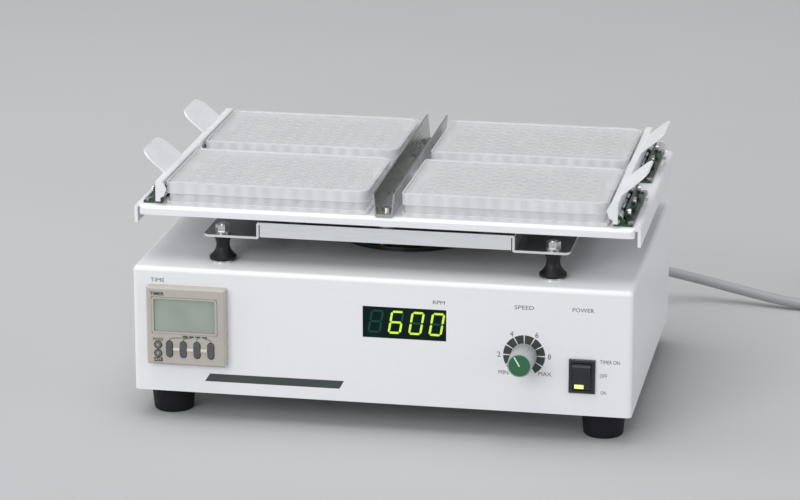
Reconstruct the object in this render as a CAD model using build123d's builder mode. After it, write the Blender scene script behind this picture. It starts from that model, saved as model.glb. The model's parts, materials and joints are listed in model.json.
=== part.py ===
from build123d import *
import os
from math import cos, pi, radians, sin, tan

os.makedirs("parts", exist_ok=True)

# ---------------------------------------------------------------- driving dimensions (mm)
CASE_W = 313.0
CASE_D = 216.0
CASE_H = 80.5
SHEET = 1.5
BEND_R = 3.0
FOOT_H = 18.0
FOOT_X = 137.0
FOOT_Y = 86.0
CASE_TOP = FOOT_H + CASE_H
FRONT = -CASE_D / 2
REAR = CASE_D / 2

ORBIT_R = 1.5
TRAY_W = 317.0
TRAY_D = 193.0
TRAY_T = 2.0
TRAY_TOP = 134.5
SIDE_DROP = 12.0
FRONT_DROP = 6.2
REAR_RISE = 6.2

SUB_TOP = 125.7
SUB_FLANGE_Z = 115.0
SUB_X = 81.0
SUB_FLANGE_X = 115.0
SUB_Y = 93.0
LEG_X = 104.0
LEG_Y = 86.0

PLATE_L = 127.76
PLATE_B = 85.48
PLATE_X = 74.4
PLATE_Y = 51.6
PLATE_TOP = 149.2
CORNER_R = 8.5

CLAMP_X = 143.8
CLAMP_TOP = 149.9
CLAMP_END = 44.3
CLAMP_INNER = PLATE_Y - 0.9
PIN_Z = 138.0
PIN_R = 1.5
BRACKET_TOP = 142.8
BRACKET_SCREW_Z = 140.0
BRACKET_X = 147.5
BRACKET_T = 1.2
RAIL_X = 139.8
RAIL_LIP = 3.2
CAP_TIP_X = 137.4
CAP_TIP_Z = 145.1
TAB_ANGLE = 40.2
TAB_L = 20.0
TAB_CORNER_R = 10.0
TAB_W = 44.0

TIMER_X = -121.4
TIMER_Z = 62.3
TIMER_PROUD = 6.3
BEZEL_HALF = 25.2
WINDOW_X = 15.45
WINDOW_Z = 70.75
WINDOW_W = 52.3
WINDOW_H = 20.1
KNOB_X = 90.0
KNOB_Z = 54.6
SWITCH_X = 125.9
SWITCH_Z = 43.5
ROCKER_Y = FRONT + 0.5
ROCKER_R = 8.7
GLAND_X = 98.0
GLAND_Z = 41.0
CORD_R = 3.5

TIMER_FACE = FRONT - TIMER_PROUD


def front_plane(x, y, z):
    """A sketch plane facing the user: local x is +X, local y is +Z, local z is -Y."""
    return Plane(origin=(x, y, z), x_dir=(1, 0, 0), z_dir=(0, -1, 0))


def side_plane(x):
    """A sketch plane facing +X: local x is +Y, local y is +Z."""
    return Plane(origin=(x, 0, 0), x_dir=(0, 1, 0), z_dir=(1, 0, 0))


def upright(x, y, z, radius, height, mode=Mode.ADD):
    """A cylinder standing on z."""
    with Locations((x, y, z + height / 2)):
        Cylinder(radius, height, mode=mode)


def block(x0, x1, y0, y1, z0, z1, mode=Mode.ADD):
    """A box given by its two corners."""
    with Locations(((x0 + x1) / 2, (y0 + y1) / 2, (z0 + z1) / 2)):
        Box(abs(x1 - x0), abs(y1 - y0), abs(z1 - z0), mode=mode)


def forward(x, y, z, radius, length, mode=Mode.ADD):
    """A cylinder lying along Y, from y to y + length."""
    with Locations(Location((x, y + length / 2, z), (90, 0, 0))):
        Cylinder(radius, abs(length), mode=mode)


def pan_screw(x, y, z, head_r, head_h, shank_r, shank_l, up=True):
    """A pan-head screw whose head sits on z; the shank runs down (or up)."""
    sign = 1 if up else -1
    with Locations((x, y, z + sign * head_h / 2)):
        Cylinder(head_r, head_h)
    with Locations((x, y, z - sign * shank_l / 2)):
        Cylinder(shank_r, shank_l)


def save(builder, node):
    """Label the part and write its STEP file."""
    builder.part.label = node
    export_step(builder.part, "parts/" + node + ".step")


FEET = [(sx * FOOT_X, sy * FOOT_Y) for sx in (-1, 1) for sy in (-1, 1)]
LEGS = [(sx * LEG_X, sy * LEG_Y) for sx in (-1, 1) for sy in (-1, 1)]
LIPS = [(sx * 148.0, sy * 45.0) for sx in (-1, 1) for sy in (-1, 1)]
REAR_SCREWS = [(sx * 118.0, z) for sx in (-1, 1) for z in (36.0, 86.0)] + [(0.0, 86.0), (0.0, 36.0)]
FLANGE_SCREWS = [(41.5 * sin(radians(a)), -41.5 * cos(radians(a))) for a in range(-15, 345, 60)]
VENTS = [x for x in range(-104, -20, 7)]

# ---------------------------------------------------------------- case
with BuildPart() as case_cover:
    block(-CASE_W / 2, CASE_W / 2, FRONT, REAR, FOOT_H, CASE_TOP)
    top_edges = case_cover.faces().sort_by(Axis.Z)[-1].edges()
    fillet(case_cover.edges().filter_by(Axis.Z) + top_edges, BEND_R)
    offset(amount=-SHEET, openings=case_cover.faces().sort_by(Axis.Z)[0])
    # inward lips carry the base pan screws
    for sx in (-1, 1):
        block(sx * (CASE_W / 2 - 1), sx * (CASE_W / 2 - 14), -55, 55, FOOT_H + SHEET, FOOT_H + 2 * SHEET)
    for x, y in LIPS:
        upright(x, y, FOOT_H, 1.6, 6, Mode.SUBTRACT)
    block(TIMER_X - 22.5, TIMER_X + 22.5, FRONT - 5, FRONT + 5, TIMER_Z - 22.5, TIMER_Z + 22.5,
          Mode.SUBTRACT)
    block(WINDOW_X - WINDOW_W / 2, WINDOW_X + WINDOW_W / 2, FRONT - 5, FRONT + 5,
          WINDOW_Z - WINDOW_H / 2, WINDOW_Z + WINDOW_H / 2, Mode.SUBTRACT)
    block(SWITCH_X - 6.6, SWITCH_X + 6.6, FRONT - 5, FRONT + 5, SWITCH_Z - 9.6, SWITCH_Z + 9.6,
          Mode.SUBTRACT)
    forward(KNOB_X, FRONT - 5, KNOB_Z, 4.6, 10, Mode.SUBTRACT)
    block(-112, 112, REAR - 5, REAR + 5, 42, 80, Mode.SUBTRACT)
    forward(GLAND_X, REAR - 5, GLAND_Z, 9.0, 10, Mode.SUBTRACT)
    for x, z in REAR_SCREWS:
        forward(x, REAR - 5, z, 1.5, 10, Mode.SUBTRACT)
    upright(0, 0, CASE_TOP - 4, 20, 8, Mode.SUBTRACT)
    for x, y in FLANGE_SCREWS:
        upright(x, y, CASE_TOP - 4, 1.6, 8, Mode.SUBTRACT)
    for x, y in LEGS:
        upright(x, y, CASE_TOP - 4, 2.6, 8, Mode.SUBTRACT)
save(case_cover, "case_cover")

with BuildPart() as base_pan:
    block(-154.9, 154.9, -106.4, 106.4, FOOT_H, FOOT_H + SHEET)
    fillet(base_pan.edges().filter_by(Axis.Z), 3.0)
    for sy in (-1, 1):
        block(-150, 150, sy * 106.4, sy * 104.9, FOOT_H, FOOT_H + 14)
    for sx in (-1, 1):
        block(sx * 154.9, sx * 153.4, 60, 101, FOOT_H, FOOT_H + 14)
        block(sx * 154.9, sx * 153.4, -101, -60, FOOT_H, FOOT_H + 14)
    for x, y in FEET:
        upright(x, y, FOOT_H - 2, 2.1, 8, Mode.SUBTRACT)
    for x, y in LIPS:
        upright(x, y, FOOT_H - 2, 1.6, 8, Mode.SUBTRACT)
    for i in range(9):
        with Locations((-40 + 10 * i, 20, FOOT_H + 1)):
            Box(4, 46, 8, mode=Mode.SUBTRACT)
save(base_pan, "base_pan")

with BuildPart() as rear_panel:
    with BuildSketch(front_plane(0, REAR + SHEET, 61)):
        RectangleRounded(250, 62, 4)
    extrude(amount=SHEET)
    forward(GLAND_X, REAR - 2, GLAND_Z, 7.0, 6, Mode.SUBTRACT)
    forward(58, REAR - 2, 55, 6.0, 6, Mode.SUBTRACT)
    for x, z in REAR_SCREWS:
        forward(x, REAR - 2, z, 1.6, 6, Mode.SUBTRACT)
    with Locations([Location((x, REAR + 1, 62), (90, 0, 0)) for x in VENTS]):
        Box(3, 30, 6, mode=Mode.SUBTRACT)
save(rear_panel, "rear_panel")

with BuildPart() as case_screws:
    for x, z in REAR_SCREWS:
        forward(x, REAR + SHEET, z, 2.9, 1.8)
        forward(x, REAR - 6, z, 1.5, 6 + SHEET)
    for x, y in LIPS:
        pan_screw(x, y, FOOT_H, 2.9, 1.8, 1.6, 7.0, up=False)
save(case_screws, "case_screws")

with BuildPart() as rubber_feet:
    for x, y in FEET:
        with BuildSketch(Plane.XY):
            with Locations((x, y)):
                Circle(12.4)
        with BuildSketch(Plane.XY.offset(FOOT_H)):
            with Locations((x, y)):
                Circle(14.0)
        loft()
    fillet(rubber_feet.faces().filter_by(Plane.XY).filter_by(lambda f: f.center().Z < 1).edges(), 1.6)
    for x, y in FEET:
        upright(x, y, -1, 5.5, 11, Mode.SUBTRACT)
        upright(x, y, 5, 2.1, 20, Mode.SUBTRACT)
save(rubber_feet, "rubber_feet")

with BuildPart() as foot_screws:
    for x, y in FEET:
        pan_screw(x, y, 10.0, 4.2, 2.6, 2.1, 14.0, up=False)
        with BuildSketch(Plane.XY.offset(FOOT_H + SHEET)):
            with Locations((x, y)):
                RegularPolygon(3.9, 6)
        extrude(amount=3.2)
save(foot_screws, "foot_screws")

# ---------------------------------------------------------------- drive
with BuildPart() as drive_flange:
    upright(0, 0, CASE_TOP, 47.0, 3.0)
    fillet(drive_flange.faces().sort_by(Axis.Z)[-1].edges(), 0.8)
    upright(0, 0, CASE_TOP - 1, 20, 6, Mode.SUBTRACT)
    for x, y in FLANGE_SCREWS:
        upright(x, y, CASE_TOP - 1, 1.6, 6, Mode.SUBTRACT)
save(drive_flange, "drive_flange")

with BuildPart() as flange_screws:
    for x, y in FLANGE_SCREWS:
        pan_screw(x, y, CASE_TOP + 3, 3.0, 2.0, 1.6, 10.8)
        upright(x, y, CASE_TOP - 6.9, 3.0, 2.4)
    for x, y in FLANGE_SCREWS:
        block(x - 2.4, x + 2.4, y - 0.4, y + 0.4, CASE_TOP + 4.4, CASE_TOP + 6, Mode.SUBTRACT)
save(flange_screws, "flange_screws")

with BuildPart() as drive_motor:
    upright(0, 0, 46, 29, 48)
    fillet(drive_motor.faces().sort_by(Axis.Z)[0].edges(), 2)
    upright(0, 0, 94, 46, 3)
    upright(0, 0, 97, 19, 3.5)
    upright(0, 0, 40, 4.05, 70, Mode.SUBTRACT)
    for x, y in FLANGE_SCREWS:
        upright(x, y, 92, 1.6, 6, Mode.SUBTRACT)
    for i in range(12):
        a = radians(30 * i)
        block(29 * cos(a) - 1.5, 29 * cos(a) + 1.5, 29 * sin(a) - 1.5, 29 * sin(a) + 1.5, 56, 80,
              Mode.SUBTRACT)
save(drive_motor, "drive_motor")

with BuildPart() as motor_shaft:
    upright(0, 0, 52, 4.0, 56.5)
    chamfer(motor_shaft.faces().sort_by(Axis.Z)[-1].edges(), 0.5)
save(motor_shaft, "motor_shaft")

with BuildPart() as eccentric_hub:
    upright(0, 0, 102.2, 11.0, 8.3)
    upright(0, ORBIT_R, 110.5, 6.0, 10.5)
    upright(0, 0, 101, 4.0, 7.5, Mode.SUBTRACT)
    with Locations(Location((0, -9, 106.4), (90, 0, 0))):
        Cylinder(1.5, 12, mode=Mode.SUBTRACT)
save(eccentric_hub, "eccentric_hub")

with BuildPart() as counterweight:
    with BuildSketch(Plane.XY.offset(102.2)):
        Circle(37)
        with Locations((0, 32)):
            Rectangle(90, 56, mode=Mode.SUBTRACT)
        Circle(15)
        Circle(11, mode=Mode.SUBTRACT)
    extrude(amount=6.0)
    with Locations((-22, -16, 105.2), (22, -16, 105.2)):
        Cylinder(3, 8, mode=Mode.SUBTRACT)
save(counterweight, "counterweight")

with BuildPart() as bearing_inner:
    upright(0, ORBIT_R, 112.5, 8.0, 8.0)
    upright(0, ORBIT_R, 112, 6.0, 9.5, Mode.SUBTRACT)
save(bearing_inner, "bearing_inner")

with BuildPart() as bearing_outer:
    upright(0, ORBIT_R, 112.5, 14.0, 8.0)
    upright(0, ORBIT_R, 112, 8.05, 9.5, Mode.SUBTRACT)
save(bearing_outer, "bearing_outer")

HOUSING_SCREWS = [(23 * cos(radians(a)), ORBIT_R + 23 * sin(radians(a))) for a in (45, 135, 225, 315)]
with BuildPart() as bearing_housing:
    upright(0, ORBIT_R, 111.5, 18.5, 12.7)
    upright(0, ORBIT_R, 119.2, 28.0, 5.0)
    upright(0, ORBIT_R, 111, 14.0, 9.5, Mode.SUBTRACT)
    upright(0, ORBIT_R, 120, 10.0, 6, Mode.SUBTRACT)
    for x, y in HOUSING_SCREWS:
        upright(x, y, 118, 2.0, 8, Mode.SUBTRACT)
save(bearing_housing, "bearing_housing")

with BuildPart() as housing_screws:
    for x, y in HOUSING_SCREWS:
        pan_screw(x, y, SUB_TOP, 3.6, 2.4, 2.0, 6.5)
save(housing_screws, "housing_screws")

# ---------------------------------------------------------------- sub-frame and legs
DECK_SCREWS = [(sx * 60.0, ORBIT_R + sy * 70.0) for sx in (-1, 1) for sy in (-1, 1)]
DIVIDER_SCREWS = [ORBIT_R + y for y in (-85.0, -46.0, 46.0, 85.0)]
with BuildPart() as subframe:
    front = ORBIT_R - SUB_Y
    rear = ORBIT_R + SUB_Y
    block(-SUB_X, SUB_X, front, rear, SUB_TOP - SHEET, SUB_TOP)
    for sx in (-1, 1):
        block(sx * SUB_X, sx * (SUB_X - SHEET), front, rear, SUB_FLANGE_Z, SUB_TOP)
        block(sx * (SUB_X - SHEET), sx * SUB_FLANGE_X, front, rear, SUB_FLANGE_Z, SUB_FLANGE_Z + SHEET)
    long_edges = subframe.edges().filter_by(Axis.Y)
    outer_top = long_edges.filter_by(lambda e: e.center().Z > SUB_TOP - 0.1)
    low_inner = long_edges.filter_by(lambda e: e.center().Z < SUB_FLANGE_Z + 0.1)
    fillet(outer_top, 1.4)
    fillet(low_inner.filter_by(lambda e: abs(e.center().X) < SUB_X), 1.4)
    for y0 in (front, rear - SHEET):
        block(-78.8, 78.8, y0, y0 + SHEET, SUB_FLANGE_Z + 1.4, SUB_TOP - 0.2)
    fillet(subframe.edges().filter_by(Axis.Z).filter_by(lambda e: abs(e.center().X) > 114), 4.0)
    upright(0, ORBIT_R, SUB_TOP - 3, 12.0, 5, Mode.SUBTRACT)
    for x, y in HOUSING_SCREWS + DECK_SCREWS + [(0, y) for y in DIVIDER_SCREWS]:
        upright(x, y, SUB_TOP - 3, 2.0, 5, Mode.SUBTRACT)
    for x, y in LEGS:
        upright(x, y + ORBIT_R, SUB_FLANGE_Z - 2, 2.5, 6, Mode.SUBTRACT)
    for sx in (-1, 1):
        with Locations((sx * 45, ORBIT_R - 30, SUB_TOP), (sx * 45, ORBIT_R + 30, SUB_TOP)):
            Cylinder(14, 6, mode=Mode.SUBTRACT)
save(subframe, "subframe")

SEAT_TOP = CASE_TOP + 1.0
LEG_LOW = SEAT_TOP + 0.2
with BuildPart() as leg_seats:
    for x, y in LEGS:
        upright(x, y, CASE_TOP, 6.8, 1.0)
        upright(x, y, CASE_TOP - 9, 2.6, 9)
        with BuildSketch(Plane.XY.offset(CASE_TOP - SHEET - 4)):
            with Locations((x, y)):
                RegularPolygon(4.6, 6)
        extrude(amount=4)
save(leg_seats, "leg_seats")

with BuildPart() as rubber_legs:
    for x, y in LEGS:
        with BuildSketch(Plane(origin=(x, y + ORBIT_R, 0), x_dir=(1, 0, 0), z_dir=(0, -1, 0))):
            with BuildLine():
                Line((0, LEG_LOW), (8.5, LEG_LOW))
                Line((8.5, LEG_LOW), (8.5, LEG_LOW + 1.8))
                Spline((8.5, LEG_LOW + 1.8), (4.3, LEG_LOW + 8.2), (5.4, SUB_FLANGE_Z - 1.4))
                Line((5.4, SUB_FLANGE_Z - 1.4), (5.4, SUB_FLANGE_Z))
                Line((5.4, SUB_FLANGE_Z), (0, SUB_FLANGE_Z))
                Line((0, SUB_FLANGE_Z), (0, LEG_LOW))
            make_face()
        revolve(axis=Axis((x, y + ORBIT_R, 0), (0, 0, 1)))
    for x, y in LEGS:
        upright(x, y + ORBIT_R, SUB_FLANGE_Z - 4, 2.5, 6, Mode.SUBTRACT)
save(rubber_legs, "rubber_legs")

with BuildPart() as leg_nuts:
    nut_z = SUB_FLANGE_Z + SHEET
    for x, y in LEGS:
        upright(x, y + ORBIT_R, nut_z, 4.9, 1.2)
        with BuildSketch(Plane.XY.offset(nut_z + 1.2)):
            with Locations((x, y + ORBIT_R)):
                RegularPolygon(4.62, 6)
        extrude(amount=4.0)
        upright(x, y + ORBIT_R, SUB_FLANGE_Z - 4, 2.5, 11.4)
save(leg_nuts, "leg_nuts")

# ---------------------------------------------------------------- tray
FRONT_T = ORBIT_R - TRAY_D / 2
REAR_T = ORBIT_R + TRAY_D / 2
CLAMPS = [(sx, ORBIT_R + sy * PLATE_Y) for sx in (-1, 1) for sy in (-1, 1)]
BRACKET_SCREWS = [(sx, y + dy) for sx, y in CLAMPS for dy in (-27.0, 0.0, 27.0)]
BRACKET_RIVETS = [(sx * 151.0, y + dy) for sx, y in CLAMPS for dy in (-36.0, 36.0)]
with BuildPart() as tray:
    block(-TRAY_W / 2, TRAY_W / 2, FRONT_T + 2.5, REAR_T - 0.6, TRAY_TOP - SIDE_DROP, TRAY_TOP)
    fillet(tray.faces().sort_by(Axis.Z)[-1].edges().filter_by(Axis.Y), 2.6)
    block(-TRAY_W / 2 + TRAY_T, TRAY_W / 2 - TRAY_T, FRONT_T, REAR_T + 5, TRAY_TOP - SIDE_DROP - 1,
          TRAY_TOP - TRAY_T, Mode.SUBTRACT)
    with BuildSketch(side_plane(-TRAY_W / 2 + 3.5)):
        with BuildLine():
            Polyline((FRONT_T + 8, TRAY_TOP), (FRONT_T + 2.6, TRAY_TOP))
            RadiusArc((FRONT_T + 2.6, TRAY_TOP), (FRONT_T, TRAY_TOP - 2.6), -2.6)
            Polyline((FRONT_T, TRAY_TOP - 2.6), (FRONT_T, TRAY_TOP - FRONT_DROP),
                     (FRONT_T + TRAY_T, TRAY_TOP - FRONT_DROP), (FRONT_T + TRAY_T, TRAY_TOP - 2.6),
                     (FRONT_T + 2.6, TRAY_TOP - TRAY_T), (FRONT_T + 8, TRAY_TOP - TRAY_T),
                     (FRONT_T + 8, TRAY_TOP))
        make_face()
    extrude(amount=TRAY_W - 7)
    with BuildSketch(side_plane(-154.5)):
        with BuildLine():
            Polyline((REAR_T - 8, TRAY_TOP), (REAR_T - SHEET - 0.5, TRAY_TOP),
                     (REAR_T - SHEET, TRAY_TOP + 0.5), (REAR_T - SHEET, TRAY_TOP + REAR_RISE),
                     (REAR_T, TRAY_TOP + REAR_RISE), (REAR_T, TRAY_TOP), (REAR_T - 2.0, TRAY_TOP - TRAY_T),
                     (REAR_T - 8, TRAY_TOP - TRAY_T), (REAR_T - 8, TRAY_TOP))
        make_face()
    extrude(amount=309)
    ends = tray.edges().filter_by(Axis.Y).filter_by(lambda e: e.center().Z > TRAY_TOP + REAR_RISE - 0.1)
    fillet(ends, 4.5)
    low = tray.edges().filter_by(Axis.Y).filter_by(
        lambda e: abs(e.center().Z - TRAY_TOP + FRONT_DROP) < 0.1 and e.center().Y < FRONT_T + 4)
    fillet(low, 1.0)
    # corner relief of the folded sheet
    for sx in (-1, 1):
        with BuildSketch(Plane.XY.offset(TRAY_TOP + 1)):
            with BuildLine():
                x0 = sx * (TRAY_W / 2 + 1)
                x1 = sx * (TRAY_W / 2 - 7.5)
                Polyline((x0, FRONT_T - 1), (x1, FRONT_T - 1), (x1, FRONT_T))
                bend_x = sx * (TRAY_W / 2 - 3.5)
                Spline((x1, FRONT_T), (sx * (TRAY_W / 2 - 4.4), FRONT_T + 0.9), (bend_x, FRONT_T + 2.5))
                Polyline((bend_x, FRONT_T + 2.5), (x0, FRONT_T + 2.5), (x0, FRONT_T - 1))
            make_face()
        extrude(amount=-SIDE_DROP - 3, mode=Mode.SUBTRACT)
    # the divider and the clamp ends pass the rear flange
    block(-9.0, 9.0, REAR_T - 3, REAR_T + 1, TRAY_TOP, TRAY_TOP + 9, Mode.SUBTRACT)
    for sx in (-1, 1):
        block(sx * 137.0, sx * 148.2, REAR_T - 3, REAR_T + 1, TRAY_TOP + 0.0, TRAY_TOP + 9, Mode.SUBTRACT)
    for sx, yc in CLAMPS:
        block(sx * 153.0, sx * 155.4, yc + 6, yc + 28, TRAY_TOP - 4, TRAY_TOP + 1, Mode.SUBTRACT)
        block(sx * 138.0, sx * 141.5, yc - 22, yc + 22, TRAY_TOP - 4, TRAY_TOP + 1, Mode.SUBTRACT)
    for x, y in DECK_SCREWS + [(0, y) for y in DIVIDER_SCREWS]:
        upright(x, y, TRAY_TOP - 4, 2.0, 6, Mode.SUBTRACT)
    for x, y in DECK_SCREWS:
        with Locations((x, y, TRAY_TOP - 0.8)):
            Cone(2.0, 4.4, 1.8, mode=Mode.SUBTRACT)
    for x, y in BRACKET_RIVETS:
        upright(x, y, TRAY_TOP - 4, 1.5, 6, Mode.SUBTRACT)
save(tray, "tray")

with BuildPart() as tray_spacers:
    for x, y in DECK_SCREWS + [(0, y) for y in DIVIDER_SCREWS]:
        upright(x, y, SUB_TOP, 5.0, TRAY_TOP - TRAY_T - SUB_TOP)
        upright(x, y, SUB_TOP - 1, 2.0, 12, Mode.SUBTRACT)
save(tray_spacers, "tray_spacers")

with BuildPart() as deck_screws:
    for x, y in DECK_SCREWS:
        upright(x, y, SUB_TOP - 6, 2.0, TRAY_TOP - SUB_TOP + 5)
        with Locations((x, y, TRAY_TOP - 0.9)):
            Cone(2.0, 4.0, 1.6)
        upright(x, y, SUB_TOP - SHEET - 3.2, 3.8, 3.2)
    for y in DIVIDER_SCREWS:
        pan_screw(0, y, TRAY_TOP + 1.5, 3.2, 1.9, 2.0, 16.2)
        upright(0, y, SUB_TOP - SHEET - 3.2, 3.8, 3.2)
save(deck_screws, "deck_screws")

with BuildPart() as divider:
    with BuildSketch(front_plane(0, FRONT_T, 0)):
        with BuildLine():
            Polyline((-5.4, TRAY_TOP), (5.4, TRAY_TOP), (7.3, TRAY_TOP + 18), (6.3, TRAY_TOP + 18),
                     (4.6, TRAY_TOP + 1.5), (-4.6, TRAY_TOP + 1.5), (-6.3, TRAY_TOP + 18),
                     (-7.3, TRAY_TOP + 18), (-5.4, TRAY_TOP))
        make_face()
    extrude(amount=-TRAY_D)
    with BuildSketch(side_plane(-20)):
        Polygon((FRONT_T - 1, TRAY_TOP + 14.6), (REAR_T + 1, TRAY_TOP + 17.2), (REAR_T + 1, TRAY_TOP + 30),
                (FRONT_T - 1, TRAY_TOP + 30), align=None)
    extrude(amount=40, mode=Mode.SUBTRACT)
    for y in DIVIDER_SCREWS:
        upright(0, y, TRAY_TOP - 1, 2.0, 4, Mode.SUBTRACT)
save(divider, "divider")

# ---------------------------------------------------------------- clamps
CORNERS = [("front_left", -1, -1), ("front_right", 1, -1), ("rear_left", -1, 1), ("rear_right", 1, 1)]
for corner, sx, sy in CORNERS:
    node = "clamp_" + corner
    yc = ORBIT_R + sy * PLATE_Y
    x_in = sx * (CLAMP_X - 0.5)
    x_out = sx * (CLAMP_X + 0.5)
    y_low, y_high = sorted((yc + sy * CLAMP_END, yc - sy * CLAMP_INNER))
    with BuildPart() as clamp:
        block(x_in, x_out, y_low, y_high, 142.2, CLAMP_TOP)
        block(sx * RAIL_X, x_out, y_low, y_high, CLAMP_TOP - 1.0, CLAMP_TOP)
        block(sx * RAIL_X, sx * (RAIL_X + 1.0), y_low, y_high, CLAMP_TOP - RAIL_LIP, CLAMP_TOP)
        bends = clamp.edges().filter_by(Axis.Y).filter_by(
            lambda e: e.center().Z > CLAMP_TOP - 0.1 and abs(e.center().X) < RAIL_X + 0.1)
        fillet(bends, 0.9)
        for cap_y in (y_low + 1.0, y_high):
            with BuildSketch(front_plane(0, cap_y, 0)):
                Polygon((x_out, 137.0), (x_out - sx * 3.0, 137.0), (x_out - sx * 3.0, 139.2),
                        (sx * 139.0, 140.6), (sx * CAP_TIP_X, CAP_TIP_Z), (sx * RAIL_X, CLAMP_TOP - 0.2),
                        (x_out, CLAMP_TOP - 0.2), align=None)
            extrude(amount=1.0)
        for dy in (-30, 30):
            y0 = yc + dy - 5.8
            y1 = yc + dy + 5.8
            block(x_in, x_out, y0, y1, PIN_Z, 143)
            with Locations(Location((sx * CLAMP_X, yc + dy, PIN_Z), (90, 0, 0))):
                Cylinder(2.6, 11.6)
        for dy in (-30, 30):
            with Locations(Location((sx * CLAMP_X, yc + dy, PIN_Z), (90, 0, 0))):
                Cylinder(PIN_R + 0.06, 14, mode=Mode.SUBTRACT)
        tab_plane = Plane(origin=(sx * CLAMP_X, yc, CLAMP_TOP - 0.4), x_dir=(0, 1, 0),
                          z_dir=(-sx * sin(radians(TAB_ANGLE)), 0, cos(radians(TAB_ANGLE))))
        with BuildSketch(tab_plane):
            with Locations((0, -sx * TAB_L / 2)):
                Rectangle(TAB_W, TAB_L)
        extrude(amount=0.5, both=True)
        tips = clamp.edges().filter_by(lambda e: e.length < 1.01 and abs(e.center().X) > CLAMP_X + 14)
        fillet(tips, TAB_CORNER_R)
    save(clamp, node)

with BuildPart() as clamp_brackets:
    for sx, yc in CLAMPS:
        block(sx * BRACKET_X, sx * 153.2, yc - 40, yc + 40, TRAY_TOP, TRAY_TOP + 1.5)
        block(sx * BRACKET_X, sx * (BRACKET_X + BRACKET_T), yc - 33, yc + 33, TRAY_TOP, BRACKET_TOP)
        for e in (-38.0, -22.0, 22.0, 38.0):
            block(sx * (CLAMP_X - 2.6), sx * (BRACKET_X + 0.6), yc + e - 1.5, yc + e + 1.5, TRAY_TOP, PIN_Z)
            with Locations(Location((sx * CLAMP_X, yc + e, PIN_Z), (90, 0, 0))):
                Cylinder(2.6, 3)
        for e in (-30.0, 30.0):
            with Locations(Location((sx * CLAMP_X, yc + e, PIN_Z), (90, 0, 0))):
                Cylinder(PIN_R, 24, mode=Mode.SUBTRACT)
    for x, y in BRACKET_RIVETS:
        upright(x, y, TRAY_TOP - 1, 1.5, 4, Mode.SUBTRACT)
    for sx, y in BRACKET_SCREWS:
        with Locations(Location((sx * (BRACKET_X + 0.6), y, BRACKET_SCREW_Z), (0, 90, 0))):
            Cylinder(1.5, 4, mode=Mode.SUBTRACT)
save(clamp_brackets, "clamp_brackets")

with BuildPart() as clamp_pins:
    for sx, yc in CLAMPS:
        with Locations(Location((sx * CLAMP_X, yc, PIN_Z), (90, 0, 0))):
            Cylinder(PIN_R, 82)
save(clamp_pins, "clamp_pins")

with BuildPart() as bracket_screws:
    for x, y in BRACKET_RIVETS:
        pan_screw(x, y, TRAY_TOP + 1.5, 2.1, 0.9, 1.5, 4.5)
        upright(x, y, TRAY_TOP - TRAY_T - 1.0, 2.4, 1.0)
    for sx, y in BRACKET_SCREWS:
        with Locations(Location((sx * (BRACKET_X + 2.1), y, BRACKET_SCREW_Z), (0, 90, 0))):
            Cylinder(2.5, 1.8)
        with Locations(Location((sx * (BRACKET_X + 0.6), y, BRACKET_SCREW_Z), (0, 90, 0))):
            Cylinder(1.5, 1.8)
save(bracket_screws, "bracket_screws")

with BuildPart() as clamp_springs:
    for sx, yc in CLAMPS:
        for y0 in (yc - 16, yc + 8):
            with BuildLine() as coil:
                Helix(pitch=1.0, height=8.0, radius=2.1, center=(sx * CLAMP_X, y0, PIN_Z),
                      direction=(0, 1, 0))
            with BuildSketch(Plane(origin=coil.line @ 0, z_dir=coil.line % 0)):
                Circle(0.4)
            sweep(is_frenet=True)
save(clamp_springs, "clamp_springs")

# ---------------------------------------------------------------- microplates
def plate_outline(x, y, length, width, left_r, right_r, mode=Mode.ADD):
    """A rectangle whose two right-hand corners are rounder than its left-hand ones."""
    with BuildSketch(Plane.XY, mode=Mode.PRIVATE) as outline:
        with Locations((x, y)):
            Rectangle(length, width)
        fillet(outline.vertices().sort_by(Axis.X)[-2:], right_r)
        fillet(outline.vertices().sort_by(Axis.X)[:2], left_r)
    add(outline.sketch_local, mode=mode)


WELLS = [((i - 5.5) * 9.0, (j - 3.5) * 9.0) for i in range(12) for j in range(8)]
for corner, sx, sy in CORNERS:
    node = "microplate_" + corner
    px = sx * PLATE_X
    py = ORBIT_R + sy * PLATE_Y
    z0 = TRAY_TOP + 0.05
    with BuildPart() as microplate:
        with BuildSketch(Plane.XY.offset(z0)):
            with Locations((px, py)):
                RectangleRounded(PLATE_L, PLATE_B, 3.2)
        extrude(amount=2.4)
        with BuildSketch(Plane.XY.offset(z0 + 2.4)):
            plate_outline(px, py, 123.9, 81.6, 2.0, CORNER_R - 1.9)
        extrude(amount=10.4)
        with BuildSketch(Plane.XY.offset(z0)):
            with Locations((px, py)):
                RectangleRounded(120, 77.8, 1.5)
        extrude(amount=1.6, mode=Mode.SUBTRACT)
        with BuildSketch(Plane.XY.offset(z0 + 12.8)):
            with Locations([(px + wx, py + wy) for wx, wy in WELLS]):
                Circle(3.4)
        extrude(amount=-10.0, mode=Mode.SUBTRACT)
        with BuildSketch(Plane.XY.offset(PLATE_TOP - 7.0)):
            plate_outline(px, py, 127.4, 85.1, 3.2, CORNER_R)
            plate_outline(px, py, 124.6, 82.3, 2.2, CORNER_R - 1.4, Mode.SUBTRACT)
        extrude(amount=5.8)
        with BuildSketch(Plane.XY.offset(PLATE_TOP - 1.2)):
            plate_outline(px, py, 127.4, 85.1, 3.2, CORNER_R)
        extrude(amount=1.2)
        with BuildSketch(Plane.XY.offset(PLATE_TOP)):
            plate_outline(px, py, 122.6, 80.3, 2.0, CORNER_R - 2.4)
        extrude(amount=-0.4, mode=Mode.SUBTRACT)
    save(microplate, node)

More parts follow.
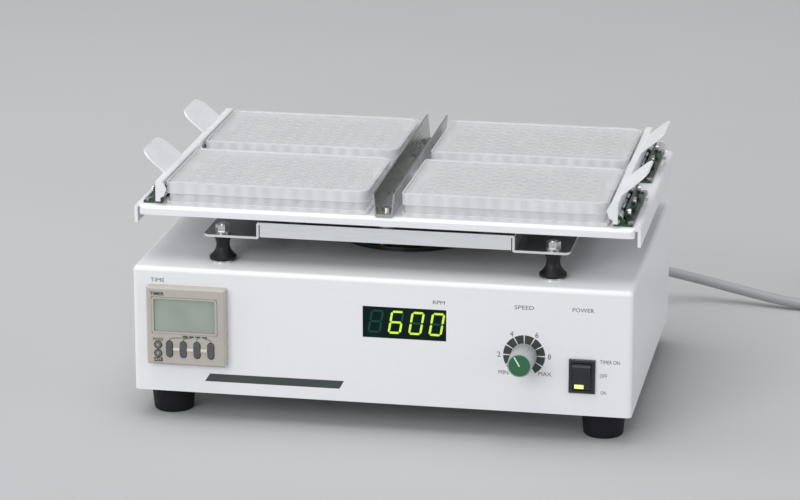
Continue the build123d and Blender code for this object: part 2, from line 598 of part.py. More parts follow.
# ---------------------------------------------------------------- timer
with BuildPart() as timer_body:
    block(TIMER_X - 22.4, TIMER_X + 22.4, FRONT + 60, FRONT, TIMER_Z - 22.4, TIMER_Z + 22.4)
    for i in range(6):
        block(TIMER_X - 23, TIMER_X + 23, FRONT + 20 + 5 * i, FRONT + 21.5 + 5 * i, TIMER_Z + 20.4,
              TIMER_Z + 23, Mode.SUBTRACT)
save(timer_body, "timer_body")

KEYS = [TIMER_X - 10.6 + 8.8 * i for i in range(4)]
KEY_Z = 47.6
KEY_HALF = 5.15
BUTTON_X = TIMER_X - 17.9
BUTTONS = (("mode_button", 50.1), ("reset_button", 44.6))
LCD_X = TIMER_X - 0.85
LCD_Z = 69.4
with BuildPart() as timer_bezel:
    block(TIMER_X - BEZEL_HALF, TIMER_X + BEZEL_HALF, TIMER_FACE, FRONT,
          TIMER_Z - BEZEL_HALF, TIMER_Z + BEZEL_HALF)
    chamfer(timer_bezel.faces().sort_by(Axis.Y)[0].edges(), 1.2)
    fillet(timer_bezel.edges().filter_by(Axis.Y), 1.2)
    block(LCD_X - 21.0, LCD_X + 21.0, TIMER_FACE - 0.01, TIMER_FACE + 0.8, LCD_Z - 11.8, LCD_Z + 11.8,
          Mode.SUBTRACT)
    with BuildSketch(front_plane(LCD_X, TIMER_FACE + 0.8, LCD_Z)):
        RectangleRounded(41.6, 23.2, 1.6)
        RectangleRounded(39.0, 21.2, 0.8, mode=Mode.SUBTRACT)
    extrude(amount=1.1)
    block(LCD_X - 19.5, LCD_X + 19.5, TIMER_FACE, TIMER_FACE + 2.6, LCD_Z - 10.6, LCD_Z + 10.6,
          Mode.SUBTRACT)
    for kx in KEYS:
        with BuildSketch(front_plane(kx, TIMER_FACE - 1, KEY_Z)):
            SlotOverall(2 * KEY_HALF + 0.9, 4.6, rotation=90)
        extrude(amount=-5.2, mode=Mode.SUBTRACT)
    for node, bz in BUTTONS:
        forward(BUTTON_X, TIMER_FACE - 1, bz, 2.15, 4.6, Mode.SUBTRACT)
save(timer_bezel, "timer_bezel")

with BuildPart() as timer_lcd:
    block(LCD_X - 19.4, LCD_X + 19.4, TIMER_FACE + 0.9, TIMER_FACE + 2.6, LCD_Z - 10.5, LCD_Z + 10.5)
save(timer_lcd, "timer_lcd")

for i, kx in enumerate(KEYS):
    node = "timer_key_" + str(i + 1)
    with BuildPart() as timer_key:
        with BuildSketch(front_plane(kx, TIMER_FACE + 3.4, KEY_Z)):
            SlotOverall(2 * KEY_HALF, 4.1, rotation=90)
        extrude(amount=4.3)
        face = timer_key.faces().sort_by(Axis.Y)[0]
        fillet(face.edges(), 0.6)
    save(timer_key, node)

for node, bz in BUTTONS:
    with BuildPart() as button:
        forward(BUTTON_X, TIMER_FACE - 0.9, bz, 2.05, 3.4)
        fillet(button.faces().sort_by(Axis.Y)[0].edges(), 0.4)
    save(button, node)

# ---------------------------------------------------------------- display
with BuildPart() as display_window:
    block(WINDOW_X - 26.1, WINDOW_X + 26.1, FRONT + 0.1, FRONT + SHEET, WINDOW_Z - 10.0, WINDOW_Z + 10.0)
    block(WINDOW_X - 29, WINDOW_X + 29, FRONT + SHEET, FRONT + SHEET + 1.5, WINDOW_Z - 13, WINDOW_Z + 13)
save(display_window, "display_window")

with BuildPart() as display_module:
    block(WINDOW_X - 25.2, WINDOW_X + 25.2, FRONT + 3.0, FRONT + 10, WINDOW_Z - 9.5, WINDOW_Z + 9.5)
    block(WINDOW_X - 32, WINDOW_X + 32, FRONT + 10, FRONT + 11.6, WINDOW_Z - 15, WINDOW_Z + 15)
    with Locations([(WINDOW_X + dx, FRONT + 13, WINDOW_Z + dz) for dx in (-20, 0, 20) for dz in (-7, 7)]):
        Box(9, 2.8, 6)
    for sx in (-1, 1):
        forward(WINDOW_X + sx * 30.6, FRONT + SHEET, WINDOW_Z - 13.9, 0.9, 8.5)
        forward(WINDOW_X + sx * 30.6, FRONT + SHEET, WINDOW_Z + 13.9, 0.9, 8.5)
save(display_module, "display_module")

# ---------------------------------------------------------------- speed control
with BuildPart() as potentiometer:
    forward(KNOB_X, FRONT + SHEET, KNOB_Z, 8.2, 9.5)
    forward(KNOB_X, FRONT - 3.8, KNOB_Z, 4.5, 5.3)
    with BuildSketch(front_plane(KNOB_X, FRONT, KNOB_Z)):
        RegularPolygon(6.3, 6)
        Circle(4.5, mode=Mode.SUBTRACT)
    extrude(amount=2.2)
    for dx in (-5, 0, 5):
        block(KNOB_X + dx - 0.6, KNOB_X + dx + 0.6, FRONT + 6, FRONT + 6.6, KNOB_Z - 14, KNOB_Z - 5)
    forward(KNOB_X, FRONT - 5, KNOB_Z, 3.05, 13.5, Mode.SUBTRACT)
save(potentiometer, "potentiometer")

with BuildPart() as speed_shaft:
    forward(KNOB_X, FRONT - 15, KNOB_Z, 3.0, 22)
save(speed_shaft, "speed_shaft")

KNOB_BACK = FRONT - 1.2
KNOB_FRONT = FRONT - 20.2
with BuildPart() as speed_knob:
    with BuildSketch(front_plane(KNOB_X, KNOB_BACK, KNOB_Z)):
        Circle(8.1)
    with BuildSketch(front_plane(KNOB_X, KNOB_FRONT, KNOB_Z)):
        Circle(7.5)
    loft()
    fillet(speed_knob.faces().sort_by(Axis.Y)[0].edges(), 0.5)
    with BuildSketch(front_plane(KNOB_X, KNOB_BACK - 2.0, KNOB_Z)):
        with PolarLocations(8.15, 24):
            Circle(0.62)
    extrude(amount=20, mode=Mode.SUBTRACT)
    forward(KNOB_X, KNOB_BACK, KNOB_Z, 7.0, -3.4, Mode.SUBTRACT)
    forward(KNOB_X, KNOB_BACK - 13.8, KNOB_Z, 3.0, 20, Mode.SUBTRACT)
    forward(KNOB_X, KNOB_FRONT - 1, KNOB_Z, 6.6, 1.6, Mode.SUBTRACT)
save(speed_knob, "speed_knob")

with BuildPart() as knob_cap:
    forward(KNOB_X, KNOB_FRONT - 0.8, KNOB_Z, 6.6, 1.4)
    fillet(knob_cap.faces().sort_by(Axis.Y)[0].edges(), 0.4)
save(knob_cap, "knob_cap")

# ---------------------------------------------------------------- power switch
with BuildPart() as switch_body:
    block(SWITCH_X - 8.1, SWITCH_X + 8.1, FRONT - 1.8, FRONT, SWITCH_Z - 10.8, SWITCH_Z + 10.8)
    chamfer(switch_body.faces().sort_by(Axis.Y)[0].edges(), 0.5)
    block(SWITCH_X - 6.5, SWITCH_X + 6.5, FRONT, FRONT + 22, SWITCH_Z - 9.5, SWITCH_Z + 9.5)
    block(SWITCH_X - 5.8, SWITCH_X + 5.8, FRONT - 3, FRONT + 9, SWITCH_Z - 8.85, SWITCH_Z + 8.85,
          Mode.SUBTRACT)
    for dz in (-6, 0, 6):
        block(SWITCH_X - 2.4, SWITCH_X + 2.4, FRONT + 22, FRONT + 30, SWITCH_Z + dz - 0.4,
              SWITCH_Z + dz + 0.4)
save(switch_body, "switch_body")

with BuildPart() as switch_rocker:
    with BuildSketch(side_plane(SWITCH_X - 5.6)):
        with Locations((ROCKER_Y, SWITCH_Z)):
            Circle(ROCKER_R)
        a = radians(37)
        b = radians(13)
        top_pt = (ROCKER_Y - ROCKER_R * sin(a), SWITCH_Z + ROCKER_R * cos(a))
        low_pt = (ROCKER_Y - ROCKER_R * sin(b), SWITCH_Z - ROCKER_R * cos(b))
        mid_pt = (ROCKER_Y - 3.1, SWITCH_Z - 0.8)
        Polygon(top_pt, (ROCKER_Y - 14, SWITCH_Z + 12), (ROCKER_Y - 14, SWITCH_Z - 14),
                (ROCKER_Y - 2, SWITCH_Z - 14), low_pt, mid_pt, align=None, mode=Mode.SUBTRACT)
        with Locations((ROCKER_Y + 7.5, SWITCH_Z)):
            Rectangle(8, 20, mode=Mode.SUBTRACT)
    extrude(amount=11.2)
save(switch_rocker, "switch_rocker")

# ---------------------------------------------------------------- electrics inside
with BuildPart() as power_supply:
    block(40, 145, -20, 60, 30, 31.6)
    block(52, 92, -12, 30, 31.6, 62)
    block(100, 120, -10, 5, 31.6, 52)
    upright(110, 30, 31.6, 8, 28)
    upright(130, 30, 31.6, 6, 22)
    for x in (45, 136):
        for y in (-15, 55):
            upright(x, y, FOOT_H + SHEET, 3.5, 30 - FOOT_H - SHEET)
save(power_supply, "power_supply")

with BuildPart() as control_board:
    block(-145, -55, -20, 70, 30, 31.6)
    block(-120, -100, 0, 20, 31.6, 34)
    block(-90, -70, 10, 14, 31.6, 56)
    upright(-135, 50, 31.6, 5, 14)
    block(-130, -80, 58, 66, 31.6, 41)
    for x in (-136, -60):
        for y in (-15, 65):
            upright(x, y, FOOT_H + SHEET, 3.5, 30 - FOOT_H - SHEET)
save(control_board, "control_board")

with BuildPart() as fuse_holder:
    forward(58, REAR - 26, 55, 5.9, 27.5)
    forward(58, REAR + SHEET, 55, 8.0, 3.0)
    forward(58, REAR + SHEET + 3.0, 55, 6.2, 5.0)
    block(55, 61, REAR + 8.0, REAR + 10, 54.2, 55.8, Mode.SUBTRACT)
save(fuse_holder, "fuse_holder")

GLAND_END = REAR + 21.0
with BuildPart() as cord_gland:
    forward(GLAND_X, REAR - 8, GLAND_Z, 6.9, 9.5)
    with BuildSketch(front_plane(GLAND_X, REAR + SHEET + 5.5, GLAND_Z)):
        RegularPolygon(9.6, 6)
    extrude(amount=5.5)
    forward(GLAND_X, REAR + SHEET + 5.5, GLAND_Z, 7.2, 4.5)
    with BuildSketch(Plane(origin=(GLAND_X, REAR + 11.5, GLAND_Z), x_dir=(1, 0, 0), z_dir=(0, 1, 0))):
        Circle(6.4)
    with BuildSketch(Plane(origin=(GLAND_X, GLAND_END, GLAND_Z), x_dir=(1, 0, 0), z_dir=(0, 1, 0))):
        Circle(4.8)
    loft()
    forward(GLAND_X, REAR - 20, GLAND_Z, CORD_R, 60, Mode.SUBTRACT)
save(cord_gland, "cord_gland")

# ---------------------------------------------------------------- mains cord, 7 mm round
COIL_X = 304.0
COIL_Y = 239.0
COIL_R = 42.0
COIL_ENTRY = COIL_Y - COIL_R - 2 * CORD_R
TUBE_END_X = 277.4
CORD_POINTS = [(GLAND_X, REAR, GLAND_Z), (GLAND_X, 150, GLAND_Z), (120, 186, 30), (156, 203, 18),
               (195, 201, 10), (226, 194, 5.5), (253, COIL_ENTRY, 3.6), (TUBE_END_X, COIL_ENTRY, 3.6)]


def corner_radii(points):
    """As large an arc at each corner as its two runs allow."""
    radii = []
    for p, q, r in zip(points, points[1:], points[2:]):
        run_in = Vector(*q) - Vector(*p)
        run_out = Vector(*r) - Vector(*q)
        half_turn = radians(run_in.get_angle(run_out)) / 2
        radii.append(0.45 * min(run_in.length, run_out.length) / tan(half_turn))
    return radii


RADII = corner_radii(CORD_POINTS)
print("cord radii", [round(r, 1) for r in RADII])
with BuildPart() as mains_cord:
    with BuildLine() as route:
        FilletPolyline(*CORD_POINTS, radius=RADII)
    with BuildSketch(Plane(origin=CORD_POINTS[0], x_dir=(1, 0, 0), z_dir=(0, 1, 0))):
        Circle(CORD_R)
    sweep()
tube_length = sum(edge.length for edge in route.edges())
print("cord tube", round(tube_length, 1), "volume ratio",
      round(mains_cord.part.volume / (pi * CORD_R ** 2 * tube_length), 4))
save(mains_cord, "mains_cord")

with BuildPart() as mains_cord_coil:
    upright(COIL_X, COIL_Y, 0, COIL_R + 3 * CORD_R, 4 * CORD_R)
    fillet(mains_cord_coil.edges(), 3.0)
    upright(COIL_X, COIL_Y, -1, COIL_R - 3 * CORD_R, 4 * CORD_R + 2, Mode.SUBTRACT)
save(mains_cord_coil, "mains_cord_coil")

PLUG_X = COIL_X + COIL_R + 2 * CORD_R
PLUG_Y = COIL_Y + 26.6
PLUG_Z = 17.6
with BuildPart() as mains_plug:
    with BuildSketch(Plane(origin=(PLUG_X, PLUG_Y, PLUG_Z), x_dir=(1, 0, 0), z_dir=(0, 1, 0))):
        Circle(4.4)
    with BuildSketch(Plane(origin=(PLUG_X, PLUG_Y + 22, PLUG_Z), x_dir=(1, 0, 0), z_dir=(0, 1, 0))):
        Circle(7.0)
    loft()
    forward(PLUG_X, PLUG_Y + 22, PLUG_Z, 17.5, 30)
    fillet(mains_plug.edges().filter_by(GeomType.CIRCLE).filter_by(lambda e: e.radius > 17), 4.0)
    for sx in (-1, 1):
        forward(PLUG_X + sx * 9.5, PLUG_Y + 52, PLUG_Z, 2.4, 19)
save(mains_plug, "mains_plug")
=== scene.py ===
import json
import math

import bmesh
import bpy
from mathutils import Matrix, Vector


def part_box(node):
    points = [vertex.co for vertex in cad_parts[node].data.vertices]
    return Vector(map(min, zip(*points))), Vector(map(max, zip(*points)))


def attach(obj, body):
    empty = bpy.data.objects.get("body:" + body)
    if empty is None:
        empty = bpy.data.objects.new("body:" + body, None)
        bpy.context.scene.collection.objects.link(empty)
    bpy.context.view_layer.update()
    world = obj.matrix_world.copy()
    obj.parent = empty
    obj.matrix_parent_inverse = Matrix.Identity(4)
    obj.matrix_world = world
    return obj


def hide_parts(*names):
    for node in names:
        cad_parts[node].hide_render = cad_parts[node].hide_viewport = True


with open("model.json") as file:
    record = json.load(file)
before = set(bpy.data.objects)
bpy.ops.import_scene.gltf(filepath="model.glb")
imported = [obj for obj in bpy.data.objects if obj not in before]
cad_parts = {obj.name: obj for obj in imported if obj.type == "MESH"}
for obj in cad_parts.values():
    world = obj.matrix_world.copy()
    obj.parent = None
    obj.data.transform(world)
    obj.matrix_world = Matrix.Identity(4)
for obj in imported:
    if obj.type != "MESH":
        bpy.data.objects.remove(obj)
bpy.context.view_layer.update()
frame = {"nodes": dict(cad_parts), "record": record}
NODES = frame["nodes"]
MM = 0.001
WELL_PITCH = 9 * MM

# ---------------------------------------------------------------- materials
class Shade:
    """A Principled material in object coordinates, with its noise-driven detail."""

    def __init__(self, name):
        self.mat = bpy.data.materials.new(name)
        self.mat.use_nodes = True
        self.tree = self.mat.node_tree
        self.bsdf = self.tree.nodes["Principled BSDF"]
        self.place = self.tree.nodes.new("ShaderNodeTexCoord").outputs["Object"]
        self.normal = None

    def node(self, kind, **values):
        made = self.tree.nodes.new(kind)
        for key, value in values.items():
            setattr(made, key, value)
        return made

    def join(self, output, socket):
        self.tree.links.new(output, socket)

    def noise(self, scale, detail=4.0, rough=0.55, offset=0.0):
        """Noise of so many cycles per metre along X, Y and Z."""
        place = self.node("ShaderNodeMapping")
        place.inputs["Scale"].default_value = scale
        place.inputs["Location"].default_value = (offset, offset, offset)
        self.join(self.place, place.inputs["Vector"])
        noise = self.node("ShaderNodeTexNoise")
        noise.inputs["Scale"].default_value = 1.0
        noise.inputs["Detail"].default_value = detail
        noise.inputs["Roughness"].default_value = rough
        self.join(place.outputs["Vector"], noise.inputs["Vector"])
        return noise.outputs["Fac"]

    def ramp(self, fac, stops):
        """A colour picked by fac from (place, colour) stops."""
        ramp = self.node("ShaderNodeValToRGB")
        while len(ramp.color_ramp.elements) < len(stops):
            ramp.color_ramp.elements.new(0.5)
        for element, (at, colour) in zip(ramp.color_ramp.elements, stops):
            element.position = at
            element.color = (*colour, 1)
        self.join(fac, ramp.inputs["Fac"])
        return ramp.outputs["Color"]

    def span(self, fac, low, high, start=0.3, end=0.7):
        """fac carried from start..end to low..high."""
        span = self.node("ShaderNodeMapRange")
        span.inputs["From Min"].default_value = start
        span.inputs["From Max"].default_value = end
        span.inputs["To Min"].default_value = low
        span.inputs["To Max"].default_value = high
        self.join(fac, span.inputs["Value"])
        return span.outputs["Result"]

    def math(self, what, a, b=None):
        """One sum on outputs or plain numbers."""
        node = self.node("ShaderNodeMath", operation=what)
        for i, value in enumerate((a, b)):
            if value is None:
                continue
            if isinstance(value, (int, float)):
                node.inputs[i].default_value = value
            else:
                self.join(value, node.inputs[i])
        return node.outputs["Value"]

    def mix(self, fac, a, b):
        """Colour a where fac is 0 and colour b where it is 1."""
        mix = self.node("ShaderNodeMix", data_type="RGBA")
        for value, i in ((a, 6), (b, 7)):
            if isinstance(value, tuple):
                mix.inputs[i].default_value = (*value, 1)
            else:
                self.join(value, mix.inputs[i])
        self.join(fac, mix.inputs["Factor"])
        return mix.outputs[2]

    def parts(self):
        """The place in the object, as X, Y and Z."""
        apart = self.node("ShaderNodeSeparateXYZ")
        self.join(self.place, apart.inputs["Vector"])
        return apart.outputs

    def normal_parts(self):
        """The surface's own direction, along the object's axes."""
        coords = self.node("ShaderNodeTexCoord")
        apart = self.node("ShaderNodeSeparateXYZ")
        self.join(coords.outputs["Normal"], apart.inputs["Vector"])
        return apart.outputs

    def bump(self, height, strength, distance):
        """Relief, on top of any laid before it."""
        bump = self.node("ShaderNodeBump")
        bump.inputs["Strength"].default_value = strength
        bump.inputs["Distance"].default_value = distance
        self.join(height, bump.inputs["Height"])
        if self.normal is not None:
            self.join(self.normal, bump.inputs["Normal"])
        self.normal = bump.outputs["Normal"]
        self.join(self.normal, self.bsdf.inputs["Normal"])

    def set(self, **values):
        """Shader sockets by name, with _ for a blank."""
        for key, value in values.items():
            self.bsdf.inputs[key.replace("_", " ")].default_value = value

    def colour(self, output):
        self.join(output, self.bsdf.inputs["Base Color"])

    def roughness(self, output):
        self.join(output, self.bsdf.inputs["Roughness"])


def surface(name, dark, light, rough, grain, metal, bump=0.15, depth=0.00004, cloud=25.0, **sockets):
    """A finish: fine grain in its bump and gloss, and slow clouds in its colour."""
    shade = Shade(name)
    fine = shade.noise(grain)
    slow = shade.noise(even(cloud), detail=3.0, offset=0.7)
    both = shade.math("ADD", shade.math("MULTIPLY", fine, 0.45), shade.math("MULTIPLY", slow, 0.55))
    shade.colour(shade.ramp(both, [(0.33, dark), (0.67, light)]))
    shade.roughness(shade.span(both, rough[0], rough[1]))
    shade.bump(fine, bump, depth)
    shade.set(Metallic=metal, **sockets)
    return shade.mat


def even(n):
    """The same grain along all three axes."""
    return (n, n, n)


# dark colour, light colour, roughness from and to, grain per metre, metalness, other settings
FINISHES = {
    "white_enamel": ((0.835, 0.84, 0.85), (0.86, 0.865, 0.875), (0.34, 0.4), even(260), 0.0,
                     dict(bump=0.012, depth=0.00002, cloud=7, Coat_Weight=0.08, Coat_Roughness=0.2)),
    "zinc_steel": ((0.50, 0.50, 0.49), (0.72, 0.72, 0.71), (0.2, 0.34), even(900), 1.0, {}),
    "foot_rubber": ((0.008, 0.008, 0.011), (0.016, 0.016, 0.021), (0.5, 0.65), even(1400), 0.0,
                    dict(bump=0.3, depth=0.00006, Specular_IOR_Level=0.2)),
    "leg_rubber": ((0.006, 0.006, 0.008), (0.013, 0.013, 0.016), (0.34, 0.5), even(1100), 0.0,
                   dict(bump=0.2, depth=0.00005, Specular_IOR_Level=0.3)),
    "black_plate": ((0.006, 0.006, 0.007), (0.015, 0.015, 0.016), (0.16, 0.26), even(900), 0.0, {}),
    "brass": ((0.55, 0.38, 0.16), (0.85, 0.66, 0.36), (0.18, 0.3), even(1200), 1.0, {}),
    "motor_shell": ((0.10, 0.105, 0.11), (0.15, 0.155, 0.16), (0.4, 0.5), even(800), 0.6, {}),
    "machined_steel": ((0.45, 0.45, 0.45), (0.68, 0.68, 0.67), (0.2, 0.32), (120, 120, 4000), 1.0, {}),
    "sheet_aluminium": ((0.84, 0.85, 0.865), (0.92, 0.93, 0.945), (0.46, 0.54), (60, 1500, 1500), 0.25,
                        dict(bump=0.05, depth=0.00002)),
    "deck_screw_steel": ((0.45, 0.45, 0.44), (0.7, 0.7, 0.68), (0.18, 0.3), even(1200), 1.0, {}),
    "stainless_sheet": ((0.50, 0.51, 0.50), (0.66, 0.67, 0.66), (0.22, 0.36), (900, 40, 900), 1.0,
                        dict(bump=0.06, depth=0.00002, cloud=30)),
    "clamp_sheet": ((0.84, 0.85, 0.86), (0.92, 0.93, 0.94), (0.36, 0.46), (900, 60, 900), 0.25,
                    dict(bump=0.05, depth=0.00002, cloud=30)),
    # dark green on the bracket: painted shade and a painted green reflection on polished steel
    "dark_bracket": ((0.03, 0.06, 0.045), (0.085, 0.13, 0.1), (0.16, 0.28), even(900), 0.75, {}),
    "spring_steel": ((0.42, 0.5, 0.6), (0.68, 0.78, 0.88), (0.15, 0.26), even(1500), 1.0, {}),
    "timer_grey": ((0.45, 0.425, 0.375), (0.51, 0.485, 0.435), (0.42, 0.52), even(2300), 0.0,
                   dict(bump=0.22, depth=0.00004)),
    "key_dark": ((0.07, 0.075, 0.07), (0.11, 0.115, 0.105), (0.38, 0.5), even(2600), 0.0,
                 dict(bump=0.25, depth=0.00004)),
    "button_grey": ((0.12, 0.12, 0.115), (0.19, 0.19, 0.18), (0.38, 0.5), even(2600), 0.0, {}),
    "display_board": ((0.02, 0.03, 0.028), (0.04, 0.05, 0.045), (0.5, 0.6), even(900), 0.0, {}),
    "circuit_board": ((0.01, 0.09, 0.04), (0.02, 0.15, 0.07), (0.35, 0.5), even(500), 0.0, {}),
    "potentiometer": ((0.4, 0.4, 0.39), (0.6, 0.6, 0.58), (0.25, 0.4), even(900), 1.0, {}),
    "knob_grey": ((0.29, 0.3, 0.305), (0.45, 0.46, 0.465), (0.3, 0.42), even(1900), 0.0,
                  dict(bump=0.2, depth=0.00004)),
    "black_gloss": ((0.012, 0.013, 0.018), (0.022, 0.024, 0.032), (0.22, 0.32), even(1600), 0.0,
                    dict(bump=0.12, depth=0.00003)),
    "rocker_black": ((0.012, 0.013, 0.02), (0.026, 0.028, 0.038), (0.2, 0.3), even(1600), 0.0,
                     dict(bump=0.1, depth=0.00003)),
    "gland_grey": ((0.14, 0.145, 0.15), (0.2, 0.205, 0.21), (0.45, 0.55), even(1300), 0.0, {}),
    "cord_grey": ((0.36, 0.37, 0.385), (0.43, 0.44, 0.455), (0.42, 0.52), even(1500), 0.0, {}),
    "plug_grey": ((0.2, 0.205, 0.215), (0.27, 0.275, 0.285), (0.4, 0.52), even(1500), 0.0, {}),
    # dark crosses on the screw heads: painted shade in their recesses
    "painted_recess_shade": ((0.03, 0.03, 0.03), (0.07, 0.07, 0.068), (0.3, 0.45), even(1500), 0.8, {}),
    "legend_ink": ((0.09, 0.092, 0.095), (0.13, 0.132, 0.135), (0.45, 0.55), even(2000), 0.0, {}),
    "dial_ink": ((0.032, 0.04, 0.036), (0.05, 0.058, 0.053), (0.42, 0.52), even(2000), 0.0, {}),
    "strip_ink": ((0.038, 0.052, 0.047), (0.052, 0.068, 0.062), (0.4, 0.5), even(900), 0.0, {}),
    # timer print, and the painted shade in the gaps round the small buttons
    "timer_ink_and_gap_shade": ((0.04, 0.038, 0.034), (0.07, 0.067, 0.06), (0.45, 0.55), even(2000), 0.0, {}),
    "timer_ridge": ((0.62, 0.6, 0.55), (0.7, 0.68, 0.63), (0.35, 0.45), even(2000), 0.0, {}),
    "unlit_segment": ((0.004, 0.055, 0.042), (0.006, 0.075, 0.058), (0.3, 0.4), even(1500), 0.0,
                      dict(Specular_IOR_Level=0.12)),
    # white, nearly opaque beads on the clear plates: painted highlight along their rims and wells
    "painted_rim_highlight": ((0.86, 0.87, 0.885), (0.93, 0.935, 0.945), (0.12, 0.2), even(700), 0.0,
                     dict(bump=0.05, depth=0.00002, Alpha=0.8)),
}
MATS = {name: surface(name, dark, light, rough, grain, metal, **more)
        for name, (dark, light, rough, grain, metal, more) in FINISHES.items()}


def lit(name, edge, core, strength):
    """A glowing lens, a little brighter in patches."""
    shade = Shade(name)
    tone = shade.ramp(shade.noise(even(420), detail=2.0), [(0.3, edge), (0.7, core)])
    shade.colour(tone)
    shade.join(tone, shade.bsdf.inputs["Emission Color"])
    shade.set(Emission_Strength=strength, Roughness=0.3)
    return shade.mat


MATS["lit_segment"] = lit("lit_segment", (0.34, 0.52, 0.025), (0.5, 0.68, 0.05), 0.75)
MATS["rocker_lamp"] = lit("rocker_lamp", (0.66, 0.78, 0.1), (0.9, 0.95, 0.4), 0.9)


def window_filter():
    """Dark green filter acrylic, slightly clouded."""
    shade = Shade("green_window")
    slow = shade.noise(even(40), detail=2.0)
    shade.colour(shade.ramp(slow, [(0.3, (0.002, 0.010, 0.009)), (0.7, (0.004, 0.020, 0.017))]))
    shade.roughness(shade.span(shade.noise(even(300)), 0.22, 0.3))
    shade.set(Specular_IOR_Level=0.12)
    return shade.mat


def lcd_glass():
    """Reflective display: grey-green, clouded from side to side."""
    shade = Shade("timer_lcd")
    slow = shade.noise((70, 20, 45), detail=1.0)
    shade.colour(shade.ramp(slow, [(0.25, (0.28, 0.335, 0.285)), (0.75, (0.36, 0.41, 0.345))]))
    shade.roughness(shade.span(shade.noise(even(60)), 0.3, 0.36))
    shade.set(Coat_Weight=0.1, Coat_Roughness=0.2)
    return shade.mat


def clear_moulding():
    """Clear polystyrene: nearly see-through face on, milky at its rims and edges."""
    shade = Shade("clear_polystyrene")
    slow = shade.noise(even(60), detail=3.0)
    shade.colour(shade.ramp(slow, [(0.3, (0.88, 0.89, 0.905)), (0.7, (0.95, 0.955, 0.965))]))
    shade.roughness(shade.span(shade.noise(even(260)), 0.1, 0.18))
    facing = shade.node("ShaderNodeLayerWeight")
    facing.inputs["Blend"].default_value = 0.35
    milky = shade.span(facing.outputs["Facing"], 0.16, 0.5, 0.2, 0.95)
    upright = shade.span(shade.math("ABSOLUTE", shade.normal_parts()["Z"]), 1.0, 0.0, 0.2, 0.9)
    bands = shade.math("SINE", shade.math("MULTIPLY", shade.parts()["X"], 2 * math.pi / WELL_PITCH))
    wall = shade.math("MULTIPLY", upright, shade.math("ADD", shade.math("MULTIPLY", bands, 0.07), 0.5))
    shade.join(shade.math("MAXIMUM", milky, wall), shade.bsdf.inputs["Alpha"])
    shade.bump(shade.noise(even(500)), 0.05, 0.00003)
    shade.set(IOR=1.55, Coat_Weight=0.2, Coat_Roughness=0.05)
    return shade.mat


def folded_sheet():
    """Bright rolled sheet, with painted shade and a painted dark reflection on the faces that lie flat under
    the deck.
    """
    shade = Shade("subframe_sheet")
    grain = shade.noise((60, 1500, 1500))
    bright = shade.ramp(grain, [(0.3, (0.82, 0.83, 0.84)), (0.7, (0.9, 0.91, 0.92))])
    # painted shade: a dark colour on the flat faces stands in for shadow and the deck's dark reflection
    painted_flat_shade = shade.ramp(grain, [(0.3, (0.10, 0.11, 0.11)), (0.7, (0.17, 0.18, 0.18))])
    flat = shade.span(shade.math("ABSOLUTE", shade.normal_parts()["Z"]), 0.0, 1.0, 0.8, 0.97)
    shade.colour(shade.mix(flat, bright, painted_flat_shade))
    shade.roughness(shade.span(grain, 0.16, 0.24))
    shade.bump(grain, 0.03, 0.00001)
    shade.set(Metallic=0.7)
    return shade.mat


def cap_face(centre, angle, half_width, reach):
    """Green cap with one white line from its middle towards its rim."""
    shade = Shade("cap_green")
    fine = shade.noise(even(1600))
    green = shade.ramp(fine, [(0.3, (0.026, 0.13, 0.056)), (0.7, (0.038, 0.158, 0.072))])
    xyz = shade.parts()
    dx = shade.math("SUBTRACT", xyz["X"], centre[0])
    dz = shade.math("SUBTRACT", xyz["Z"], centre[1])
    along = shade.math("ADD", shade.math("MULTIPLY", dx, math.sin(angle)),
                       shade.math("MULTIPLY", dz, math.cos(angle)))
    across = shade.math("SUBTRACT", shade.math("MULTIPLY", dx, math.cos(angle)),
                        shade.math("MULTIPLY", dz, math.sin(angle)))
    inside = shade.math("LESS_THAN", shade.math("ABSOLUTE", across), half_width)
    outward = shade.math("GREATER_THAN", along, -half_width)
    short = shade.math("LESS_THAN", along, reach)
    line = shade.math("MULTIPLY", inside, shade.math("MULTIPLY", outward, short))
    shade.colour(shade.mix(line, green, (0.82, 0.84, 0.82)))
    shade.roughness(shade.span(fine, 0.4, 0.52))
    shade.bump(fine, 0.2, 0.00004)
    shade.set(Specular_IOR_Level=0.3)
    return shade.mat


CAP_LOW, CAP_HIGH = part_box("knob_cap")
KNOB = (CAP_LOW + CAP_HIGH) / 2
MATS["green_window"] = window_filter()
MATS["timer_lcd"] = lcd_glass()
MATS["clear_polystyrene"] = clear_moulding()
MATS["subframe_sheet"] = folded_sheet()
MATS["cap_green"] = cap_face((KNOB.x, KNOB.z), math.radians(-30), 0.4 * MM, 6.2 * MM)

CORNERS = ("front_left", "front_right", "rear_left", "rear_right")
OTHER_FINISH = {"subframe": "subframe_sheet", **{"clamp_" + corner: "clamp_sheet" for corner in CORNERS}}
for part in frame["record"]["subparts"]:
    node = NODES[part["node"]]
    finish = MATS[OTHER_FINISH.get(part["node"], part["material_slot"])]
    if not node.material_slots:
        node.data.materials.append(finish)
    for slot in node.material_slots:
        slot.material = finish


# ---------------------------------------------------------------- piece builders
INK = 0.05 * MM


def piece(name, mesh, finish, body):
    """An object at the origin with its place in its mesh."""
    made = bpy.data.objects.new(name, mesh)
    bpy.context.scene.collection.objects.link(made)
    mesh.materials.clear()
    mesh.materials.append(MATS[finish])
    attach(made, body)
    return made


def from_bmesh(name, bm, finish, body, smooth=False):
    """A piece from a bmesh, which is then freed."""
    bmesh.ops.recalc_face_normals(bm, faces=bm.faces)
    mesh = bpy.data.meshes.new(name)
    bm.to_mesh(mesh)
    bm.free()
    for face in mesh.polygons:
        face.use_smooth = smooth
    return piece(name, mesh, finish, body)


def add_plate(bm, outline, surface_y):
    """A flat print of (x, z) points, standing INK proud of a surface that faces -Y."""
    y = surface_y - INK
    front = [bm.verts.new((x, y, z)) for x, z in outline]
    back = [bm.verts.new((x, y + INK, z)) for x, z in outline]
    bm.faces.new(front)
    bm.faces.new(back[::-1])
    n = len(outline)
    for i in range(n):
        j = (i + 1) % n
        bm.faces.new((front[j], front[i], back[i], back[j]))


